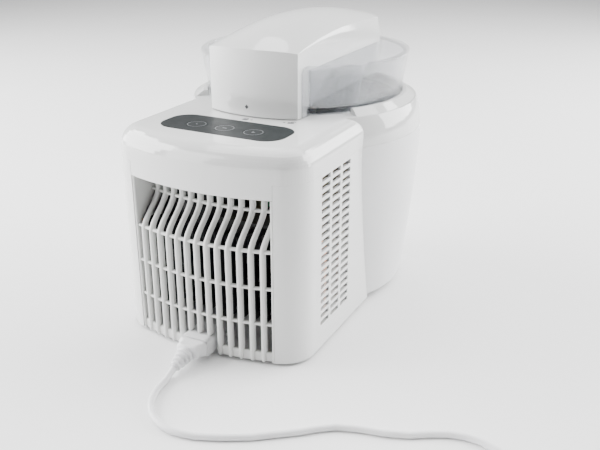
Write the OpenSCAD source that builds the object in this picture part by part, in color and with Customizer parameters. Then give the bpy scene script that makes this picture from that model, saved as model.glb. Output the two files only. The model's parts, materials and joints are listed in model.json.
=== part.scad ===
// Compact compressor ice cream maker: a box with the cooling machinery, a round
// barrel that holds the bowl, and a clear lid with the motor arm across it.
// +Z is up, the grille faces -Y, and the origin is on the table under the middle.

/* [Body] */
// Overall length, from the rear face to the far side of the barrel
body_l = 346; // [335:1:360]
// Width of the box
box_w = 200; // [194:1:206]
// Height of the flat top above the table
deck_h = 207; // [200:1:214]
// Radius of the convex rear face
rear_r = 241; // [230:1:260]
// Radius of the upright rear corners
corner_r = 32; // [28:1:36]
// Radius of the edge around the flat top
edge_r = 18; // [14:1:20]
// Height of the seam under the top cover
seam_h = 178; // [174:1:182]
// Wall thickness of the white shells
wall = 3; // [2.5:0.5:3.5]
// Height of the rubber feet
foot_h = 3; // [2:0.5:5]

/* [Barrel] */
// Largest radius of the barrel
barrel_r = 125; // [122:1:128]
// Height of the barrel's widest point
belly_h = 165; // [160:1:170]
// Radius of the barrel's bottom edge
barrel_edge_r = 9; // [6:1:12]

/* [Side vents] */
// Slots above one another in a column
vent_rows = 20; // [10:1:20]
// Columns of slots
vent_cols = 3; // [1:1:3]
// Length of a slot
vent_l = 17.4; // [12:0.2:18]
// Height of a slot
vent_h = 4.4; // [3:0.2:5]
// Distance between slots in a column
vent_pitch = 7.6; // [7:0.1:7.8]
// Distance between columns
vent_col_pitch = 21.9; // [20:0.1:22]

/* [Rear grille] */
// Number of upright ribs
rib_count = 13; // [9:2:13]
// Distance between ribs
rib_pitch = 10.7; // [10:0.1:11]
// Width of a rib
rib_w = 4.8; // [4:0.1:6]
// Depth of a rib from front to back
rib_d = 5; // [4:1:8]
// Height where the ribs begin to bend inwards
knee_h = 112; // [100:1:120]
// Depth of the hand hold behind the top cover's lower edge
hold_d = 26; // [20:1:30]
// Height of the top cover's lower edge over the hand hold
apron_h = 164; // [158:1:168]

/* [Lid] */
// Outer radius of the lid at its top rim
lid_r = 109.5; // [106:0.5:111]
// Outer radius of the lid at its foot
lid_foot_r = 102; // [100:0.5:103]
// Height of the lid's top rim above the table
lid_h = 255; // [248:1:262]
// Wall thickness of the lid
lid_wall = 2.6; // [2:0.1:3]
// Width of the flat rim on top of the lid
lid_rim_w = 6.5; // [4:0.5:8]

/* [Motor arm] */
// Width of the arm
arm_w = 96; // [90:1:98]
// Radius of the arm's rear face, about the barrel's axis
arm_rear_r = 120; // [116:1:122]
// Angle that the arm turns to unlock
unlock_angle = 20; // [15:1:22]
// Height of the arm's crown above the table
crown_h = 293; // [286:1:298]

/* [Bowl] */
// Inside radius of the bowl
bowl_r = 60; // [56:1:62]
// Inside depth of the bowl
bowl_depth = 104; // [90:1:106]
// Wall thickness of the bowl
bowl_wall = 2; // [1.5:0.5:2.5]

/* [Control panel] */
// Length of the dark panel
panel_l = 130; // [120:1:136]
// Width of the dark panel
panel_w = 50; // [46:1:52]
// Diameter of a button
button_d = 20; // [18:0.5:22]
// Distance between buttons
button_pitch = 30.5; // [28:0.5:32]
// Travel of a button
button_travel = 0.8; // [0.5:0.1:1]

/* [Cooling] */
// Diameter of the compressor can
compressor_d = 84; // [80:1:86]
// Height of the compressor can
compressor_h = 112; // [100:1:120]
// Number of fins on the condenser
fin_count = 25; // [11:2:27]
// Diameter of the fan wheel
fan_d = 84; // [76:1:86]

/* [Drive] */
// Teeth on the motor's pinion
pinion_teeth = 12; // [12:1:14]
// Teeth on the gear of the paddle shaft
wheel_teeth = 60; // [56:2:60]
// Size of the gear teeth
tooth_module = 1.25; // [1.25:0.05:1.25]

/* [Cord] */
// Diameter of the mains cord
cord_d = 6; // [6:0.1:6.4]

/* [Hidden] */

$fn = 96;
eps = 0.01;
// Clearance between separate moulded pieces
gap = 0.3;

// The mains inlet stands out behind the rear face by this much
inlet_out = 8;
rear_y = (inlet_out - body_l) / 2;
axis_y = rear_y + body_l - barrel_r;
half_w = box_w / 2;
shell_z = foot_h;

// Centre of the rear face's arc and of the two upright corners
rear_cy = rear_y + rear_r;
corner_x = half_w - corner_r;
corner_y = rear_cy - sqrt(pow(rear_r - corner_r, 2) - pow(corner_x, 2));
corner_angle = asin(corner_x / (rear_r - corner_r));

// Depth of the rear face at a distance x from the middle
function rear_at(x) = rear_cy - sqrt(rear_r * rear_r - x * x);
// Radius of the barrel at height z
function barrel_at(z) = z > belly_h
    ? barrel_r - 0.000084 * pow(z - belly_h, 3)
    : barrel_r - 0.0191 * pow(belly_h - z, 1.3);
// Point at an angle on a circle
function on_circle(r, a) = [r * cos(a), r * sin(a)];
// Points of an arc
function arc(cx, cy, r, a0, a1, steps) =
    [for (i = [0 : steps]) [cx, cy] + on_circle(r, a0 + (a1 - a0) * i / steps)];

bowl_rim_z = 203;
bowl_floor_z = bowl_rim_z - bowl_depth;
bowl_out_r = bowl_r + bowl_wall;
well_r = bowl_out_r + 0.6;
well_wall = 1.4;
well_floor_z = bowl_floor_z - bowl_wall - 0.6;
well_rim_r = 76;
well_rim_z = bowl_rim_z - 2.3;
coil_tube_r = 4;
coil_rings = 6;
coil_pitch = 14;
foam_in_r = well_r + well_wall + 2 * coil_tube_r + 1;
foam_out_r = 94;
deck_open_r = 97;
lip_r = 107;
lip_in_r = 104;
lip_h = 6;
lip_start = unlock_angle - 90 + asin(arm_w / 2 / lip_in_r) + 4.5;

plate_t = 3;
plate_z = foot_h + 0.2;
plate_top = plate_z + plate_t;
foot_spots = [[-72, rear_y + 53], [72, rear_y + 53], [-72, axis_y - 28], [72, axis_y - 28],
    [0, axis_y + 90]];
post_spots = [[-86, rear_y + 47], [86, rear_y + 47], [-88, rear_y + 124], [88, rear_y + 124]];
base_posts = [[-80, rear_y + 39], [80, rear_y + 39], [-90, rear_y + 137], [90, rear_y + 137]];
barrel_posts = [[-75, axis_y + 55], [75, axis_y + 55]];
vent_y = rear_y + 57;
vent_z = 173;
board_y = rear_y + 107;
grille_half = rib_pitch * (rib_count + 1) / 2;

panel_y = rear_y + 61;
panel_t = 1.6;
panel_corner = 19;
button_y = rear_y + 58;
button_t = 3;
board_z = deck_h - 17;
board_t = 1.6;

arm_front_r = lid_r - lid_rim_w - 0.5;
arm_half = arm_w / 2;
arm_wall = 2.4;
column_in_r = 104;
arm_split_z = lid_h - 4.7;
tray_half = arm_half - 2;
tray_z = 216;
lid_floor_z = 214;
foot_gap = 0.8;

centre_distance = (pinion_teeth + wheel_teeth) * tooth_module / 2;
motor_y = axis_y - centre_distance;
motor_d = 54;
motor_z = tray_z + arm_wall + 4;
motor_h = 40;
gear_z = motor_z + motor_h + 4;
gear_t = 7;
shaft_d = 8;
bearing_d = 18;

condenser_y = rear_y + 33;
condenser_d = 18;
condenser_w = 148;
condenser_z = 36;
condenser_h = 80;
fan_x = 44;
fan_y = rear_y + 69;
fan_z = 78;
compressor_x = -46;
compressor_y = rear_y + 90;
compressor_z = 24;
pipe_d = 5;
drier_x = 86;
drier_y = rear_y + 81;
drier_z = 38;
drier_h = 66;
// Where the pipes reach the coil around the well
coil_mouth_x = 43.7;
coil_mouth_y = axis_y - 52.2;

inlet_w = 30;
inlet_h = 17;
inlet_z = 12.5;
// Width of the gap for the inlet in the grille
inlet_gap_w = 36.6;
connector_w = 27;
connector_h = 13;

// Route of the loose cord, from the connector's strain relief to the coil
cord_route = [[0, -211, 7], [0, -215, 5.3], [0.3, -219, 4.1], [0.8, -223, 3.3], [1.2, -227, 3],
    [2, -234, 3], [4, -245, 3], [8, -255, 3], [13, -263, 3], [20, -271, 3], [29, -277, 3],
    [38, -281, 3], [48, -283, 3], [58, -282, 3], [69, -280, 3], [90, -271, 3],
    [110, -260, 3], [126, -248, 3], [142, -236, 3], [153, -226, 3], [165, -217, 3],
    [182, -211, 3], [202, -207, 3], [222, -200, 3], [236, -191, 3], [250, -184, 3],
    [264, -181, 3], [277, -182, 3], [289, -186, 3], [301, -191, 3], [313, -196, 3],
    [324, -199.7, 3], [336, -201, 3]];
// Route of the short end from the coil to the plug
lead_route = [[336, -271, 9], [326, -271, 9.5], [317, -271, 11.6], [309, -272, 14.6],
    [302, -273, 16.8], [296, -273, 18], [290, -273, 18]];
cord_sides = 10;
coil_centre = [336, -236];
coil_mean_r = 32;
coil_turns = 2;
plug_d = 36;
plug_l = 26;
plug_relief_l = 22;
plug_centre = [290 - plug_relief_l - plug_l / 2, -273, plug_d / 2];

// ---- shared shapes ----

// A closed solid through a list of rings, each with its points counterclockwise about
// the direction from the first ring to the last
module loft(rings) {
    n = len(rings);
    sides = len(rings[0]);
    polyhedron(
        points = [for (ring = rings) each ring],
        faces = concat(
            [[for (k = [0 : sides - 1]) k]],
            [for (i = [0 : n - 2], k = [0 : sides - 1])
                [i * sides + k, (i + 1) * sides + k,
                    (i + 1) * sides + (k + 1) % sides, i * sides + (k + 1) % sides]],
            [[for (k = [sides - 1 : -1 : 0]) (n - 1) * sides + k]]));
}

// Ring of the box's outline at height z, drawn in by inset
function box_ring(inset, z) = [
    for (p = concat(
        arc(0, rear_cy, rear_r - inset, -90 - corner_angle, -90 + corner_angle, 24),
        [for (i = [1 : 12]) [corner_x, corner_y]
            + on_circle(corner_r - inset, -90 + corner_angle + (90 - corner_angle) * i / 12)],
        [[half_w - inset, axis_y], [inset - half_w, axis_y]],
        [for (i = [0 : 11]) [-corner_x, corner_y]
            + on_circle(corner_r - inset, 180 + (90 - corner_angle) * i / 12)]))
    [p[0], p[1], z]];

// The box's outer form, drawn in by inset, from z0 to the top and with its top edge rounded
module box_form(inset, z0, top, r) {
    loft(concat([box_ring(inset, z0)],
        [for (a = [0 : 9 : 90]) box_ring(inset + r * (1 - cos(a)), top - r * (1 - sin(a)))]));
}

// Outline of the barrel from height z0 to z1, drawn in by inset
function barrel_side(z0, z1, inset, steps) =
    [for (i = [0 : steps]) let (z = z0 + (z1 - z0) * i / steps) [barrel_at(z) - inset, z]];

module barrel_form(inset, z0, z1) {
    translate([0, axis_y, 0]) rotate_extrude($fn = 180)
        polygon(concat([[0, z0]], barrel_side(z0, z1, inset, 12), [[0, z1]]));
}

module at_axis() {
    translate([0, axis_y, 0]) children();
}

module tube(r_out, r_in, z0, z1) {
    translate([0, 0, z0]) difference() {
        cylinder(r = r_out, h = z1 - z0);
        translate([0, 0, -1]) cylinder(r = r_in, h = z1 - z0 + 2);
    }
}

// Outline of the box in plan, drawn in by inset and open towards the barrel
module box_plan(inset) {
    touch_x = (rear_r - inset) * sin(corner_angle);
    intersection() {
        translate([0, rear_cy]) circle(rear_r - inset, $fn = 360);
        translate([-touch_x, rear_y - 1]) square([2 * touch_x, corner_y - rear_y + 2]);
    }
    for (side = [-1, 1]) translate([side * corner_x, corner_y]) circle(corner_r - inset);
    translate([inset - half_w, corner_y]) square([box_w - 2 * inset, axis_y - corner_y]);
}

// Band that follows the rear face at a depth d behind it
module rear_band(d, thickness, half_l) {
    intersection() {
        difference() {
            translate([0, rear_cy + d]) circle(rear_r, $fn = 360);
            translate([0, rear_cy + d + thickness]) circle(rear_r, $fn = 360);
        }
        translate([-half_l, rear_y - 1]) square([2 * half_l, 80]);
    }
}

// Ring of points square to a route at one of its points
function tube_ring(route, i, d, sides) = let (
    a = route[max(i - 1, 0)],
    b = route[min(i + 1, len(route) - 1)],
    run = (b - a) / norm(b - a),
    across = abs(run[2]) > 0.9 ? [1, 0, 0] : [0, 0, 1],
    side = cross(run, across) / norm(cross(run, across)),
    up = cross(run, side))
    [for (k = [0 : sides - 1]) let (w = 360 * (k + 0.5) / sides)
        route[i] + d / 2 * (cos(w) * side + sin(w) * up)];

// A round tube of diameter d along a route
module tube_along(route, d, sides) {
    loft([for (i = [0 : len(route) - 1]) tube_ring(route, i, d, sides)]);
}

// ---- housing ----

screw_d = 3;

module screw(length) {
    // Pan head below, shank upwards
    translate([0, 0, -2]) cylinder(r = 3, h = 2, $fn = 32);
    translate([0, 0, -eps]) cylinder(r = screw_d / 2, h = length, $fn = 32);
}

// Raised lip that rings the lid around the barrel
module deck_lip() {
    at_axis() rotate([0, 0, lip_start]) rotate_extrude(angle = 180 - 2 * lip_start, $fn = 180)
        polygon([[lip_in_r, deck_h - 1], [barrel_at(deck_h) - 0.3, deck_h - 1],
            [lip_r + 1.5, deck_h + lip_h], [lip_in_r + 0.8, deck_h + lip_h],
            [lip_in_r, deck_h + lip_h - 0.8]]);
}

// Outline of the control panel, drawn in by inset
module panel_plan(inset) {
    half_l = panel_l / 2 - inset;
    half_h = panel_w / 2 - inset;
    r = panel_corner - inset;
    for (x = [-1, 1], y = [-1, 1]) translate([x * (half_l - r), y * (half_h - r)]) circle(r);
    square([2 * half_l, 2 * (half_h - r)], center = true);
    square([2 * (half_l - r), 2 * half_h], center = true);
}

module top_cover() {
    color("white") difference() {
        union() {
            difference() {
                union() {
                    difference() {
                        box_form(0, apron_h, deck_h, edge_r);
                        // Below the seam only the apron over the hand hold is left
                        translate([0, 0, apron_h - 1]) linear_extrude(seam_h - apron_h + 1)
                            difference() {
                                translate([-box_w, rear_y - 10]) square(2 * box_w);
                                translate([gap - grille_half, rear_y - 20])
                                    square([2 * (grille_half - gap), 50]);
                            }
                    }
                    barrel_form(0, seam_h, deck_h);
                }
                box_form(wall, apron_h - 2, deck_h - wall, edge_r - wall);
                barrel_form(wall, seam_h - 1, deck_h - wall);
            }
            deck_lip();
            // Screw bosses
            intersection() {
                box_form(1, seam_h, deck_h - 1, edge_r - 1);
                for (p = post_spots) translate([p[0], p[1], seam_h])
                    cylinder(r = 5, h = deck_h - seam_h);
            }
            for (x = [-46, 46], y = [-14, 14])
                translate([x, button_y + y, board_z + board_t])
                    cylinder(r = 3.5, h = deck_h - wall - board_z - board_t + eps);
        }
        at_axis() translate([0, 0, deck_h - 2 * wall]) cylinder(r = deck_open_r, h = 20);
        // Recess for the control panel, and the holes for the buttons
        translate([0, panel_y, deck_h - panel_t]) linear_extrude(10) panel_plan(0);
        for (i = [-1 : 1]) translate([i * button_pitch, button_y, deck_h - 2 * wall])
            cylinder(r = button_d / 2 + gap, h = 20);
        // Slot for the motor's contacts
        at_axis() translate([0, -112, deck_h]) cube([28.4, 8.4, 20], center = true);
        for (p = post_spots) translate([p[0], p[1], seam_h - 1])
            cylinder(r = screw_d / 2, h = 15, $fn = 32);
        for (x = [-46, 46], y = [-14, 14]) translate([x, button_y + y, board_z])
            cylinder(r = screw_d / 2, h = 9, $fn = 32);
    }
}

module box_shell() {
    color("white") difference() {
        union() {
            translate([0, 0, shell_z]) linear_extrude(seam_h - shell_z) difference() {
                box_plan(0);
                box_plan(wall);
            }
            intersection() {
                translate([0, 0, shell_z]) linear_extrude(seam_h - shell_z) box_plan(1);
                union() {
                    // Beam above the grille that ties the two sides together
                    translate([-half_w, rear_y + hold_d + 20, seam_h - 8])
                        cube([box_w, 4, 8]);
                    // Tabs under the top cover's screws
                    for (p = post_spots) translate([p[0], p[1], seam_h - 8]) {
                        cylinder(r = 5, h = 8);
                        translate([p[0] < 0 ? -15 : 0, -5, 0]) cube([15, 10, 8]);
                    }
                    // Posts on the base plate
                    for (p = base_posts) translate([p[0], p[1], plate_top]) {
                        cylinder(r = 5, h = 12);
                        translate([p[0] < 0 ? -20 : 0, -5, 0]) cube([20, 10, 12]);
                    }
                }
            }
        }
        barrel_form(-0.15, shell_z - 1, seam_h + 1);
        // Opening for the rear grille
        translate([-grille_half, rear_y - 1, 0]) cube([2 * grille_half, 30, seam_h + 1]);
        for (col = [0 : vent_cols - 1], row = [0 : vent_rows - 1])
            translate([half_w - 5, vent_y + col * vent_col_pitch,
                vent_z - row * vent_pitch - vent_h / 2])
                cube([10, vent_l, vent_h]);
        for (p = post_spots) translate([p[0], p[1], seam_h - 9])
            cylinder(r = screw_d / 2 + 0.2, h = 10, $fn = 32);
        for (p = base_posts) translate([p[0], p[1], plate_top - 1])
            cylinder(r = screw_d / 2, h = 11, $fn = 32);
    }
}

module barrel_shell() {
    color("whitesmoke") difference() {
        union() {
            difference() {
                barrel_body(0, shell_z, barrel_edge_r);
                barrel_body(wall, shell_z + wall, barrel_edge_r - wall);
                at_axis() translate([0, 0, -1]) cylinder(r = foot_ring_r, h = 20);
            }
            // Posts on the base plate
            intersection() {
                barrel_body(1, shell_z, barrel_edge_r - 1);
                for (p = barrel_posts) translate([p[0], p[1], plate_top]) {
                    cylinder(r = 5, h = 12);
                    rotate([0, 0, atan2(p[1] - axis_y, p[0])]) translate([0, -3, 0])
                        cube([30, 6, 12]);
                }
            }
        }
        // The box meets the barrel here
        translate([0, 0, -1]) linear_extrude(seam_h + 2) box_plan(wall);
        for (p = barrel_posts) translate([p[0], p[1], plate_top - 1])
            cylinder(r = screw_d / 2, h = 11, $fn = 32);
    }
}

foot_ring_r = barrel_at(shell_z + barrel_edge_r) - barrel_edge_r - 3;

// The barrel below the seam, with a rounded bottom edge
module barrel_body(inset, z0, edge) {
    z1 = shell_z + barrel_edge_r;
    r1 = barrel_at(z1);
    at_axis() rotate_extrude($fn = 180) polygon(concat([[0, z0]],
        arc(r1 - barrel_edge_r, z1, edge, -90, -6, 10),
        barrel_side(z1 + 2, inset > 0 ? seam_h + 1 : seam_h, inset, 20),
        [[0, inset > 0 ? seam_h + 1 : seam_h]]));
}

module rear_grille() {
    color("whitesmoke") difference() {
        union() {
            for (i = [0 : rib_count - 1]) let (x = (i - (rib_count - 1) / 2) * rib_pitch)
                translate([x - rib_w / 2, rear_at(x), 0]) grille_rib(rib_w, rib_side());
            for (side = [-1, 1])
                translate([side * (grille_half - 1.6) - 1.3, rear_at(grille_half), 0])
                    grille_rib(2.6, cheek_side());
            // Cross bars behind the ribs
            for (z = [42, 78, 114, 143]) translate([0, 0, z - 1.5]) linear_extrude(3)
                rear_band(sweep(z) + 1.5, 3, grille_half - 1);
            translate([0, 0, shell_z]) linear_extrude(10)
                rear_band(2, rib_d - 2, grille_half - 1);
            translate([0, 0, seam_h - 5]) linear_extrude(4.5)
                rear_band(sweep(seam_h), rib_d, grille_half - 1);
        }
        translate([-inlet_gap_w / 2, rear_y - 1, 0])
            cube([inlet_gap_w, 30, inlet_z + inlet_h / 2 + gap]);
    }
}

// How far the ribs stand back from the rear face at height z
function sweep(z) = let (t = max(0, min(1, (z - knee_h) / (bend_top - knee_h))))
    hold_d * t * t * (3 - 2 * t);
bend_top = 146;
grille_top = seam_h - 0.5;
function rib_side() = concat(
    [[0, shell_z]],
    [for (i = [0 : 10]) let (z = knee_h + (grille_top - knee_h) * i / 10) [sweep(z), z]],
    [for (i = [10 : -1 : 0]) let (z = knee_h + (grille_top - knee_h) * i / 10)
        [rib_d + sweep(z), z]],
    [[rib_d, shell_z]]);
// The frame's side, which also closes the end of the hand hold
function cheek_side() = concat(
    [[0, shell_z], [0, apron_h - gap], [wall + 1, apron_h - gap], [wall + 1, grille_top]],
    [for (i = [10 : -1 : 0]) let (z = knee_h + (grille_top - knee_h) * i / 10)
        [rib_d + sweep(z), z]],
    [[rib_d, shell_z]]);

module grille_rib(width, outline) {
    rotate([90, 0, 90]) linear_extrude(width) polygon(outline);
}

module base_plate() {
    color("gainsboro") difference() {
        union() {
            translate([0, 0, plate_z]) linear_extrude(plate_t) {
                box_plan(wall + gap);
                translate([0, axis_y]) circle(foot_ring_r - gap);
            }
            // Uprights for the power board
            for (x = [22, 66]) translate([x - 4, board_y + board_t, plate_top - eps])
                cube([8, 4, 146 - plate_top]);
        }
        for (p = foot_spots) translate([p[0], p[1], 0]) cylinder(r = 3.05, h = 20, $fn = 32);
        for (p = concat(base_posts, barrel_posts)) translate([p[0], p[1], 0])
            cylinder(r = screw_d / 2 + 0.2, h = 10, $fn = 32);
        for (x = [22, 66], z = [70, 140]) translate([x, board_y - 1, z]) rotate([-90, 0, 0])
            cylinder(r = 1.2, h = 5, $fn = 32);
        // Clear of the grille's foot and the mains inlet
        translate([0, 0, -1]) linear_extrude(20) rear_band(-1, rib_d + 1 + gap, grille_half + gap);
        translate([-inlet_gap_w / 2, rear_y, 0]) cube([inlet_gap_w, 34, 20]);
    }
}
module feet() {
    color("dimgray") for (p = foot_spots) translate([p[0], p[1], 0]) {
        cylinder(r = 9, h = plate_z, $fn = 48);
        cylinder(r = 3.05, h = plate_z + 5, $fn = 32);
    }
}

module base_screws() {
    color("silver") for (p = concat(base_posts, barrel_posts))
        translate([p[0], p[1], plate_z]) screw(11);
}

module cover_screws() {
    color("silver") for (p = post_spots) translate([p[0], p[1], seam_h - 8]) screw(20);
}

// ---- controls ----

module control_panel() {
    color("dimgray") difference() {
        translate([0, panel_y, deck_h - panel_t]) linear_extrude(panel_t) panel_plan(0.2);
        for (i = [-1 : 1]) translate([i * button_pitch, button_y, deck_h - 5])
            cylinder(r = button_d / 2 + gap, h = 10);
    }
}

module button(i) {
    color("dimgray") translate([i * button_pitch, button_y, 0]) {
        translate([0, 0, deck_h - button_t]) cylinder(r = button_d / 2, h = button_t);
        // Flange that holds the button under the cover
        translate([0, 0, deck_h - wall - gap - 1.5])
            cylinder(r = button_d / 2 + 1.6, h = 1.5);
        translate([0, 0, deck_h - 10]) cylinder(r = 2.5, h = 8);
        translate([0, 0, deck_h - button_t - 2]) cylinder(r = 6, h = 2.5);
    }
}

module control_board() {
    color("darkgreen") difference() {
        translate([-54, button_y - 19, board_z]) cube([108, 38, board_t]);
        for (x = [-46, 46], y = [-14, 14]) translate([x, button_y + y, board_z - 1])
            cylinder(r = screw_d / 2 + 0.1, h = 4, $fn = 32);
    }
}

module button_switches() {
    top = deck_h - 10 - button_travel - 0.1;
    color("black") for (i = [-1 : 1])
        translate([i * button_pitch, button_y, board_z + board_t]) {
            translate([-3, -3, 0]) cube([6, 6, 3.4]);
            cylinder(r = 1.7, h = top - board_z - board_t, $fn = 32);
        }
}

module board_screws() {
    color("silver") for (x = [-46, 46], y = [-14, 14])
        translate([x, button_y + y, board_z]) screw(8);
}

module deck_contacts() {
    color("black") at_axis() translate([-14, -116, deck_h - 9]) difference() {
        cube([28, 8, 9]);
        for (x = [6, 14, 22]) translate([x, 4, 6]) cylinder(r = 1.6, h = 4, $fn = 32);
    }
}

// ---- cooling ----

module deck_ring() {
    color("darkgray") at_axis() rotate_extrude($fn = 180) polygon([
        [well_rim_r + 0.6, well_rim_z - 1.4], [80, well_rim_z - 1.4],
        [92.5, deck_h - 4.8], [lip_in_r - 2, deck_h - 4.8], [lip_in_r - 2, deck_h - 3.1],
        [92, deck_h - 3.1], [79.4, well_rim_z + 0.2], [well_rim_r + 0.6, well_rim_z + 0.2]]);
}

module cooling_well() {
    outer = well_r + well_wall;
    color("silver") at_axis() rotate_extrude($fn = 180) polygon([
        [0, well_floor_z - well_wall], [outer, well_floor_z - well_wall],
        [outer, well_rim_z - well_wall], [well_rim_r, well_rim_z - well_wall],
        [well_rim_r, well_rim_z], [well_r, well_rim_z], [well_r, well_floor_z],
        [0, well_floor_z]]);
}

module evaporator_coil() {
    ring_r = well_r + well_wall + coil_tube_r + 0.05;
    color("peru") at_axis() {
        for (i = [0 : coil_rings - 1]) translate([0, 0, coil_z + i * coil_pitch])
            rotate_extrude() translate([ring_r, 0]) circle(coil_tube_r, $fn = 24);
        for (i = [0 : coil_rings - 2]) rotate([0, 0, i % 2 == 0 ? 80 : 110])
            translate([ring_r, 0, coil_z + i * coil_pitch])
                cylinder(r = coil_tube_r - 0.5, h = coil_pitch, $fn = 24);
    }
}
coil_z = 112;
coil_top = coil_z + (coil_rings - 1) * coil_pitch + coil_tube_r;

module insulation() {
    floor_z = well_floor_z - well_wall;
    color("lightyellow") at_axis() rotate_extrude($fn = 120) polygon([
        [0, 70], [foam_out_r, 70], [foam_out_r, foam_top], [foam_in_r, foam_top],
        [foam_in_r, floor_z - 0.2], [0, floor_z - 0.2]]);
}
foam_top = coil_top + 2;

module compressor() {
    color("black") translate([compressor_x, compressor_y, 0]) {
        translate([0, 0, compressor_z]) rotate_extrude($fn = 120) polygon(concat(
            [[0, 0]], arc(compressor_d / 2 - 14, 14, 14, -90, 0, 8),
            arc(compressor_d / 2 - 14, compressor_h - 14, 14, 0, 90, 8),
            [[0, compressor_h]]));
        difference() {
            translate([-46, -36, compressor_z - 3]) cube([92, 72, 3.5]);
            for (p = mount_spots) translate([p[0], p[1], 0])
                cylinder(r = 4, h = 60, $fn = 32);
        }
    }
}
mount_spots = [[-38, -29], [38, -29], [-38, 29], [38, 29]];

module compressor_mounts() {
    color("dimgray") for (p = mount_spots)
        translate([compressor_x + p[0], compressor_y + p[1], plate_top]) {
            cylinder(r = 7, h = compressor_z - 3 - plate_top, $fn = 48);
            cylinder(r = 3.9, h = compressor_z + 3 - plate_top, $fn = 32);
            translate([0, 0, compressor_z + 0.5 - plate_top]) cylinder(r = 6, h = 3, $fn = 48);
        }
}

module start_relay() {
    color("black") difference() {
        translate([compressor_x + 26, compressor_y - 4, 62]) cube([28, 34, 40]);
        translate([compressor_x, compressor_y, 0])
            cylinder(r = compressor_d / 2 + 0.05, h = 200);
    }
}

module condenser() {
    pitch = (condenser_w - 4) / (fin_count - 1);
    rows = 5;
    row_pitch = 16;
    z0 = condenser_z + 8;
    color("gray") translate([0, condenser_y, 0]) {
        for (i = [0 : fin_count - 1])
            translate([(i - (fin_count - 1) / 2) * pitch - 0.35, -condenser_d / 2, condenser_z])
                cube([0.7, condenser_d, condenser_h]);
        for (row = [0 : rows - 1]) translate([-condenser_w / 2, 0, z0 + row * row_pitch])
            rotate([0, 90, 0]) cylinder(r = 3.5, h = condenser_w, $fn = 24);
        for (row = [0 : rows - 2])
            translate([(row % 2 == 0 ? -1 : 1) * condenser_w / 2, 0, z0 + (row + 0.5) * row_pitch])
                rotate([90, row % 2 == 0 ? -90 : 90, 0]) rotate_extrude(angle = 180)
                    translate([row_pitch / 2, 0]) circle(3.5, $fn = 24);
    }
}

module fan_shroud() {
    size = 92;
    color("black") translate([fan_x, fan_y, fan_z]) rotate([90, 0, 0]) {
        difference() {
            translate([-size / 2, -size / 2, 0]) cube([size, size, 24]);
            translate([0, 0, -1]) cylinder(r = fan_d / 2 + 1, h = 30);
        }
        // Struts to the motor's seat
        difference() {
            union() {
                cylinder(r = 17, h = 2);
                for (i = [0 : 2]) rotate([0, 0, i * 120 + 30]) translate([0, -2, 0])
                    cube([fan_d / 2 + 2, 4, 2]);
            }
            translate([0, 0, -1]) cylinder(r = 3.2, h = 4, $fn = 32);
        }
    }
}

module fan_motor() {
    color("dimgray") translate([fan_x, fan_y, fan_z]) rotate([90, 0, 0]) difference() {
        translate([0, 0, 2]) cylinder(r = 14, h = 7);
        translate([0, 0, 3]) cylinder(r = 1.53, h = 10, $fn = 32);
    }
}

module fan_wheel() {
    color("black") translate([fan_x, fan_y, fan_z]) rotate([90, 0, 0]) {
        translate([0, 0, 4]) cylinder(r = 1.5, h = 10, $fn = 32);
        translate([0, 0, 9.6]) cylinder(r = 17, h = 12);
        for (i = [0 : 6]) rotate([0, 0, i * 360 / 7]) translate([15, 0, 15.6])
            rotate([38, 0, 0]) translate([0, -7, -0.8]) cube([fan_d / 2 - 17, 14, 1.6]);
    }
}

module filter_drier() {
    color("peru") translate([drier_x, drier_y, drier_z]) rotate_extrude($fn = 48) polygon([
        [0, 0], [3, 0], [8, 8], [8, drier_h - 8], [3, drier_h], [0, drier_h]]);
}

// A route with its corners rounded over a length r
function rounded(route, r) = [
    route[0],
    for (i = [1 : len(route) - 2]) let (
        p = route[i],
        a = p + r * (route[i - 1] - p) / norm(route[i - 1] - p),
        b = p + r * (route[i + 1] - p) / norm(route[i + 1] - p))
        for (t = [0 : 0.25 : 1])
            (1 - t) * (1 - t) * a + 2 * t * (1 - t) * p + t * t * b,
    route[len(route) - 1]];

module refrigerant_pipes() {
    can_top = compressor_z + compressor_h;
    over_foam = coil_top + 5;
    low = condenser_z - 11;
    high = can_top + 11;
    color("peru") {
        // From the compressor to the condenser
        tube_along(rounded([[-60, compressor_y + 9, can_top], [-60, compressor_y + 9, high],
            [-88, fan_y, high], [-88, condenser_y, high], [-88, condenser_y, condenser_z + 72],
            [-condenser_w / 2, condenser_y, condenser_z + 72]], 6), pipe_d, 8);
        // From the condenser to the filter drier
        tube_along(rounded([[condenser_w / 2, condenser_y, condenser_z + 8],
            [drier_x, condenser_y, condenser_z + 8], [drier_x, condenser_y, low],
            [drier_x, drier_y, low], [drier_x, drier_y, drier_z]], 6), pipe_d, 8);
        // From the filter drier to the coil around the well
        tube_along(rounded([[drier_x, drier_y, drier_z + drier_h], [drier_x, drier_y, over_foam],
            [coil_mouth_x, coil_mouth_y, over_foam],
            [coil_mouth_x, coil_mouth_y, coil_top - 0.5]], 4), pipe_d, 8);
        // Back to the compressor
        tube_along(rounded([[-coil_mouth_x, coil_mouth_y, coil_top - 0.5],
            [-coil_mouth_x, coil_mouth_y, over_foam], [-40, compressor_y + 19, over_foam],
            [-40, compressor_y + 19, can_top]], 4), pipe_d, 8);
    }
}

module power_board() {
    color("darkgreen") difference() {
        translate([14, board_y, 60]) cube([60, board_t, 90]);
        for (x = [22, 66], z = [70, 140]) translate([x, board_y - 1, z]) rotate([-90, 0, 0])
            cylinder(r = 1.2, h = 5, $fn = 32);
    }
}

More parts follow.
